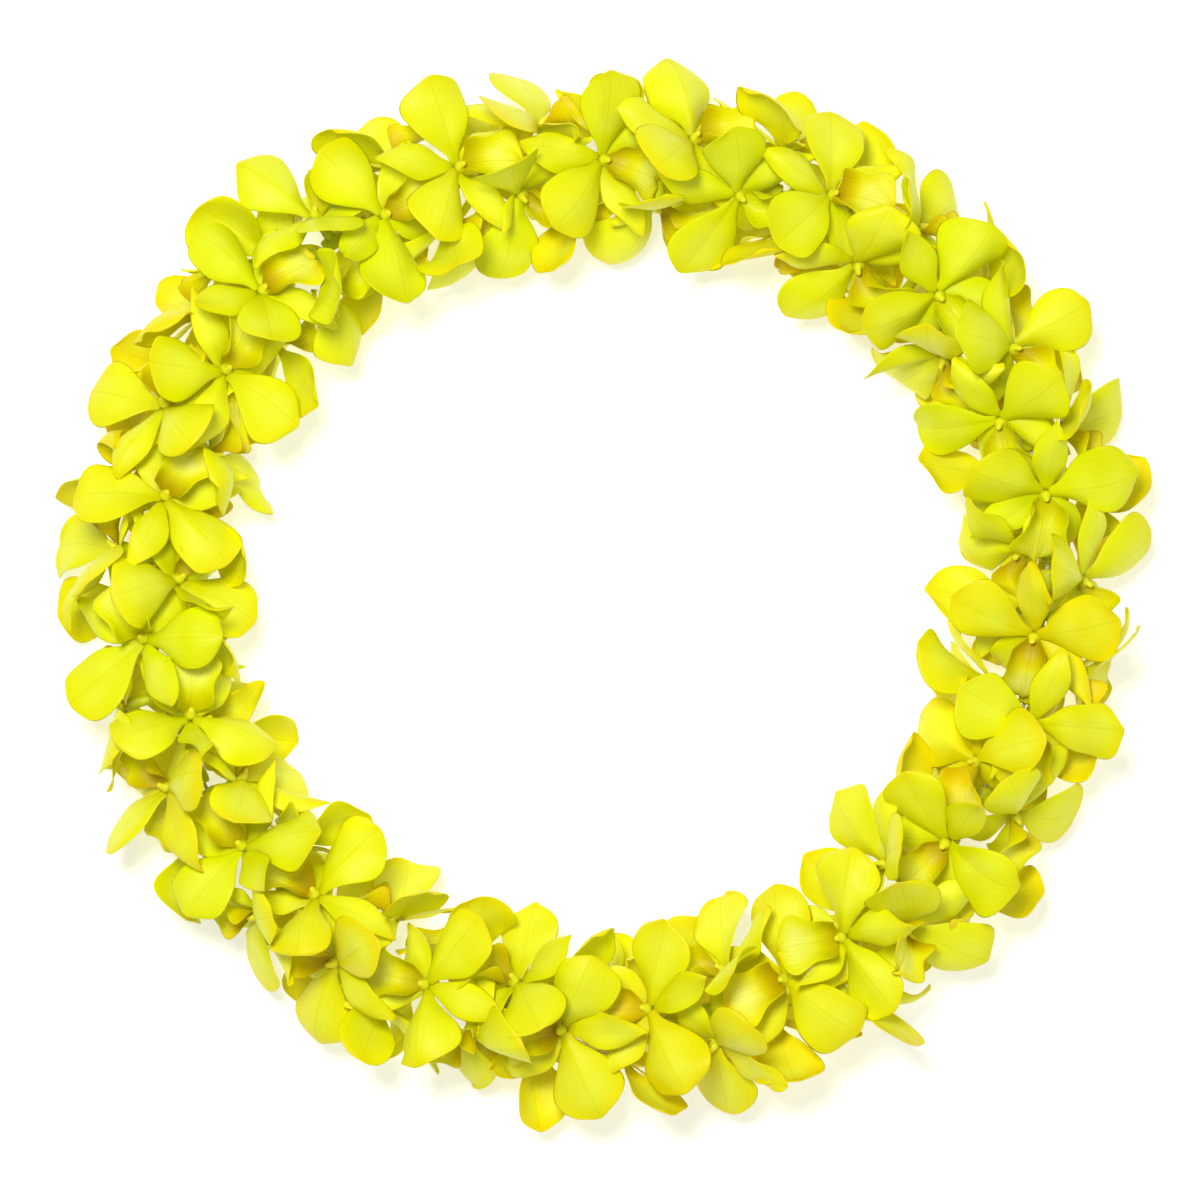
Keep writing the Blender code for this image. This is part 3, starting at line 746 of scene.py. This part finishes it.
def lip_relief(rng):
    """How the lip rises and falls: cupped, most so at its side lobes, padded inside and ruffled at its rim."""
    phase, ruffles = rng.uniform(0, math.tau), rng.uniform(2.2, 3.0)
    depth, turned_back = rng.uniform(0.0014, 0.0022), rng.uniform(0.0008, 0.0026)

    def relief(x, t):
        half = TEPALS[0].width / 2 * math.sin(math.pi * min(max(t, 0.02), 0.93)) ** 0.7
        folded = bump_at(t, 0.24, 0.14)
        rim = max(abs(x) ** 2, max(0.0, (t - 0.6) / 0.4) ** 1.5)
        round_rim = math.atan2(x, 1.1 - t)
        rise = half * x * x * (0.40 + 1.0 * folded - 0.25 * bump_at(t, 0.9, 0.25))
        rise += depth * math.sin(phase + math.pi * ruffles * round_rim) * rim * min(max(3 * t - 0.9, 0.0), 1.0)
        rise += 0.0007 * max(0.0, 1 - abs(x) / 0.35) * math.sin(math.pi * min(t / 0.62, 1.0))
        rise -= turned_back * max(0.0, (t - 0.75) / 0.25) ** 2
        return 1 - 0.5 * folded * x * x, 0.0, rise

    return relief


# Column, base and the place on the thread
# The column is the short waxy nub between the lip's side lobes, with a pale cap over its pollen. Below the tepals
# a fleshy base with a chin narrows to where the thread goes through it, and there the bases are pressed together.


def waxy(name, colour, mottle, gloss):
    """The thick waxy flesh of a column or a base, mottled a little."""
    flesh = bpy.data.materials.new(name)
    flesh.use_nodes = True
    tree = flesh.node_tree
    shader = tree.nodes["Principled BSDF"]
    place = add(tree, "ShaderNodeTexCoord").outputs["Object"]
    spots = add(tree, "ShaderNodeTexNoise", None, {"Vector": place, "Scale": 420, "Detail": 2}).outputs["Fac"]
    tree.links.new(blended(tree, spots, linear(colour), linear(mottle)), shader.inputs["Base Color"])
    bump = add(tree, "ShaderNodeBump", None, {"Height": spots, "Strength": 0.3, "Distance": 0.0002})
    tree.links.new(bump.outputs[0], shader.inputs["Normal"])
    shader.inputs["Roughness"].default_value = gloss
    shader.inputs["Specular IOR Level"].default_value = 0.35
    return flesh


column_wax = waxy("orchid_column_wax", "#ECE400", "#F8F430", 0.45)
base_flesh = waxy("orchid_base_flesh", "#C4CC08", "#DADC10", 0.45)


def drawn_up(name, sides, rings):
    """A form drawn up from a disc, by extruding and scaling its top ring by ring. rings are (height, radius)."""
    bpy.ops.object.select_all(action="DESELECT")
    bpy.ops.mesh.primitive_circle_add(vertices=sides, radius=rings[0][1], fill_type="NGON")
    form = bpy.context.object
    bpy.ops.object.mode_set(mode="EDIT")
    bpy.ops.mesh.select_all(action="SELECT")
    bpy.ops.transform.translate(value=(0, 0, rings[0][0]))
    for (z0, r0), (z1, r1) in zip(rings, rings[1:]):
        bpy.ops.mesh.extrude_region_move(TRANSFORM_OT_translate={"value": (0, 0, z1 - z0)})
        bpy.ops.transform.resize(value=(r1 / r0, r1 / r0, 1))
    bpy.ops.mesh.select_all(action="SELECT")
    bpy.ops.mesh.normals_make_consistent(inside=False)
    bpy.ops.object.mode_set(mode="OBJECT")
    pattern = form.data
    pattern.name = name
    bpy.data.objects.remove(form)
    return pattern


COLUMN_RINGS = (
    (0.0002, 0.0026), (0.0014, 0.0020), (0.0026, 0.0014), (0.0034, 0.0014), (0.0041, 0.0010), (0.0044, 0.0004),
)
BASE_RINGS = (
    (0.0, 0.0023), (0.3, 0.0021), (0.6, 0.0022), (0.85, 0.0028), (1.0, 0.0030), (1.08, 0.0023), (1.1, 0.0010),
)
column_pattern = drawn_up("column", 8, COLUMN_RINGS)
base_pattern = drawn_up("base", 8, BASE_RINGS)

bpy.ops.object.select_all(action="DESELECT")
bpy.ops.mesh.primitive_torus_add(
    major_segments=10, minor_segments=6, major_radius=0.00235, minor_radius=0.00095
)
bead = bpy.context.object
bead_pattern = bead.data
bpy.data.objects.remove(bead)


def raised_column(bloom):
    mesh = column_pattern.copy()
    for v in mesh.vertices:
        nod = bloom.dorsal * (-COLUMN_NOD * (v.co.z / (HUB_BAND + COLUMN_LENGTH)) ** 2)
        v.co = bloom.hub + bloom.side * v.co.x + bloom.dorsal * (0.8 * v.co.y) + bloom.facing * v.co.z + nod
    mesh.materials.append(column_wax)
    return mesh


def raised_base(bloom):
    mesh = base_pattern.copy()
    length = (bloom.hub - bloom.seat).length
    for v in mesh.vertices:
        z = v.co.z
        axis = bloom.radial.lerp(bloom.facing, min(z, 1.0)).normalized()
        aside = (bloom.side - bloom.side.project(axis)).normalized()
        chin = bloom.dorsal * (-0.0009 * bump_at(z, 0.9, 0.25))
        middle_line = bloom.seat.lerp(bloom.hub, min(z, 1.0)) + bloom.facing * (max(z - 1.0, 0.0) * length)
        v.co = middle_line + aside * v.co.x + axis.cross(aside) * v.co.y + chin
    mesh.materials.append(base_flesh)
    return mesh


def threaded_end(bloom, along, length):
    """The end of a flower's base, squeezed between its neighbours, with five soft ribs along it."""
    mesh = bead_pattern.copy()
    turn = along.to_track_quat("Z", "Y")
    for v in mesh.vertices:
        ribs = 1 + 0.05 * math.cos(5 * math.atan2(v.co.y, v.co.x))
        v.co = bloom.seat + turn @ Vector((v.co.x * ribs, v.co.y * ribs, v.co.z * length / 2 / 0.00095))
    mesh.materials.append(base_flesh)
    return mesh


# The blooms, two by two
# Each solid of the frame holds two blooms, and one finer pair takes its place here. The blooms below are painted
# more golden than those on top: painted shade from the blooms over them.


def laid_out(name, meshes):
    """The meshes as one object, moved to the middle of the lei."""
    bpy.ops.object.select_all(action="DESELECT")
    for mesh in meshes:
        item = bpy.data.objects.new(name, mesh)
        bpy.context.scene.collection.objects.link(item)
        item.select_set(True)
        bpy.context.view_layer.objects.active = item
    bpy.ops.object.join()
    joined = bpy.context.object
    joined.name = name
    return joined


def finished(item, kind, **settings):
    bpy.context.view_layer.objects.active = item
    modifier = item.modifiers.new(kind.lower(), kind)
    for name, value in settings.items():
        setattr(modifier, name, value)
    bpy.ops.object.modifier_apply(modifier=modifier.name)


for number in range(BLOOM_COUNT // BLOOMS_A_NODE):
    a, b = joints[number], joints[number + 1]
    skins, flesh = [], []
    for n in range(number * BLOOMS_A_NODE, (number + 1) * BLOOMS_A_NODE):
        bloom = blooms[n]
        rng = random.Random(SEED * 7000 + n)
        # Random tone, plus more gold on blooms facing down or sideways: painted shade from the blooms above them.
        bloom_tint_and_shade = rng.uniform(-0.7, 0.3) + 0.45 * (1 - bloom.radial.z)
        bloom_tint_and_shade += 0.15 * (bloom.seat.x - bloom.seat.y) / RING_RADIUS
        for tepal in TEPALS:
            pose = poses[n][tepal.name]
            tint = max(-1.0, min(1.0, bloom_tint_and_shade + rng.uniform(-0.35, 0.35)))
            if tepal.name == "lip":
                relief, skin = lip_relief(rng), lip_skin
            else:
                relief, skin = petal_relief(tepal, rng), petal_skin
            if pose:
                skins.append(opened_tepal(bloom, tepal, pose, relief, tint, skin))
        flesh += [raised_column(bloom), raised_base(bloom)]
        flesh.append(threaded_end(bloom, (b - a).normalized(), ((b - a).length / 2 - SLEEVE_END_GAP)))
    orchids = laid_out(f"orchids_{number + 1:02d}", skins)
    finished(orchids, "SOLIDIFY", thickness=SKIN_THICKNESS, offset=0.0)
    fleshy = laid_out("fleshy", flesh)
    bpy.ops.object.select_all(action="DESELECT")
    fleshy.select_set(True)
    orchids.select_set(True)
    bpy.context.view_layer.objects.active = orchids
    bpy.ops.object.join()
    finished(orchids, "SUBSURF", levels=1, render_levels=1)
    orchids.data.transform(to_centre)
    orchids.data.shade_smooth()
    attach(orchids, "root")
    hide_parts(f"blooms_{number + 1:02d}")

# Thread and knot
# White cotton thread, twisted from thin yarns, runs round inside the blooms. Its two ends are tied in an overhand
# knot and cut short.
cotton_twist = bpy.data.materials.new("twisted_cotton")
cotton_twist.use_nodes = True
tree = cotton_twist.node_tree
shader = tree.nodes["Principled BSDF"]
uv = add(tree, "ShaderNodeUVMap", {"uv_map": "UVMap"}).outputs["UV"]
split = add(tree, "ShaderNodeSeparateXYZ", None, {0: uv})
lay = add(tree, "ShaderNodeMath", {"operation": "ADD"}, {0: split.outputs[0], 1: split.outputs[1]})
turned = scaled(tree, lay.outputs[0], math.tau * 3)
strands = add(tree, "ShaderNodeMath", {"operation": "SINE"}, {0: turned})
yarn = eased(tree, strands.outputs[0], -1.0, 1.0)
tree.links.new(blended(tree, yarn, linear("#CFC4A4"), linear("#F2EBD8")), shader.inputs["Base Color"])
bump = add(tree, "ShaderNodeBump", None, {"Height": yarn, "Strength": 0.8, "Distance": 0.0002})
tree.links.new(bump.outputs[0], shader.inputs["Normal"])
shader.inputs["Roughness"].default_value = 0.85
shader.inputs["Sheen Weight"].default_value = 0.3


def cord_mesh(name, points, radius, closed, sides=8):
    """A round cord through points, with a UV map that runs round it once and along it once every three millimetres."""
    shape = bmesh.new()
    uv_layer = shape.loops.layers.uv.new("UVMap")
    rings, run, runs = [], 0.0, []
    count = len(points)
    for i, p in enumerate(points):
        before = points[i - 1] if closed or i > 0 else p
        after = points[(i + 1) % count] if closed or i < count - 1 else p
        direction = (after - before).normalized()
        aside = direction.cross(UP)
        aside = aside.normalized() if aside.length > 0.1 else Vector((1, 0, 0))
        over = aside.cross(direction).normalized()
        thin = radius if closed or 0 < i < count - 1 else radius * 0.6
        turns = [math.tau * k / sides for k in range(sides)]
        rings.append([shape.verts.new(p + (aside * math.cos(u) + over * math.sin(u)) * thin) for u in turns])
        runs.append(run)
        run += (after - p).length
    last = count if closed else count - 1
    for i in range(last):
        lower, upper = rings[i], rings[(i + 1) % count]
        low_v, high_v = runs[i] / 0.003, (runs[i] + (points[(i + 1) % count] - points[i]).length) / 0.003
        for k in range(sides):
            face = shape.faces.new((lower[k], lower[(k + 1) % sides], upper[(k + 1) % sides], upper[k]))
            places = ((k / sides, low_v), ((k + 1) / sides, low_v), ((k + 1) / sides, high_v), (k / sides, high_v))
            for loop, place in zip(face.loops, places):
                loop[uv_layer].uv = place
    if not closed:
        shape.faces.new(rings[0])
        shape.faces.new(rings[-1])
    bmesh.ops.recalc_face_normals(shape, faces=shape.faces)
    mesh = bpy.data.meshes.new(name)
    shape.to_mesh(mesh)
    shape.free()
    return mesh


round_route = []
for a, b in zip(joints, joints[1:] + joints[:1]):
    round_route += [a.lerp(b, i / 4) for i in range(4)]
knot_middle = (joints[0] + joints[-1]) / 2
knot_along = (joints[0] - joints[-1]).normalized()
knot_out = UP.cross(knot_along).normalized()
knot_loop = []
for i in range(36):
    turn = math.tau * i / 36
    spread = (2 + math.cos(3 * turn)) / 3 * KNOT_RADIUS * 0.72
    knot_loop.append(
        knot_middle
        + knot_out * (spread * math.cos(2 * turn))
        + UP * (spread * math.sin(2 * turn))
        + knot_along * (0.0007 * math.sin(3 * turn))
    )
parts = [
    cord_mesh("round", round_route, THREAD_RADIUS, True),
    cord_mesh("knot", knot_loop, THREAD_RADIUS * 0.8, True),
]
for side in (-1, 1):
    drop = (knot_out * (side * TAIL_SPREAD) - UP + knot_along * (side * TAIL_SLANT)).normalized()
    bend = knot_along * (0.0009 * side)
    tail = [knot_middle + drop * (TAIL_LENGTH * i / 8) + bend * math.sin(math.pi * i / 8) for i in range(9)]
    parts.append(cord_mesh("tail", tail, THREAD_RADIUS * 0.9, False))
thread = laid_out("cotton_thread", parts)
thread.data.materials.append(cotton_twist)
thread.data.transform(to_centre)
thread.data.shade_smooth()
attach(thread, "root")
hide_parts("thread")

# Table, light and camera
# The lei lies on a plain white table under a broad soft light, seen from straight above.
bpy.ops.object.select_all(action="DESELECT")
bpy.ops.mesh.primitive_plane_add(size=6, location=(0, 0, 0))
table = bpy.context.object
table.name = "table"
white = bpy.data.materials.new("white_table")
white.use_nodes = True
white_shader = white.node_tree.nodes["Principled BSDF"]
white_shader.inputs["Base Color"].default_value = linear("#FDFDFD")
white_shader.inputs["Roughness"].default_value = 0.9
white_shader.inputs["Specular IOR Level"].default_value = 0.1
white_shader.inputs["Emission Color"].default_value = (1, 1, 1, 1)
white_shader.inputs["Emission Strength"].default_value = 0.45
table.data.materials.append(white)


def soft_light(name, place, aim, size, power):
    lamp = bpy.data.lights.new(name, "AREA")
    lamp.shape = "DISK"
    lamp.size = size
    lamp.energy = power
    lamp.color = (0.97, 1.0, 0.96)
    item = bpy.data.objects.new(name, lamp)
    item.location = place
    item.rotation_euler = (Vector(aim) - Vector(place)).to_track_quat("-Z", "Y").to_euler()
    bpy.context.scene.collection.objects.link(item)


soft_light("overhead", (-0.3, 0.5, 2.1), (0, 0, 0), 0.6, 33)
soft_light("fill", (1.1, -0.9, 1.5), (0, 0, 0), 1.6, 5)
sky = bpy.data.worlds.new("studio")
bpy.context.scene.world = sky
sky.use_nodes = True
sky.node_tree.nodes["Background"].inputs["Color"].default_value = (0.97, 1.0, 0.98, 1)
sky.node_tree.nodes["Background"].inputs["Strength"].default_value = 0.26

eye = bpy.data.cameras.new("eye")
eye.sensor_width = 36
FRAME_WIDTH = 0.444
EYE_HEIGHT = 2.6
eye.lens = eye.sensor_width * (EYE_HEIGHT - 0.035) / FRAME_WIDTH
eye.clip_start = 0.05
camera = bpy.data.objects.new("eye", eye)
camera.location = (-0.00037, -0.00185, EYE_HEIGHT)
bpy.context.scene.collection.objects.link(camera)
bpy.context.scene.camera = camera
bpy.context.scene.view_settings.view_transform = "Standard"
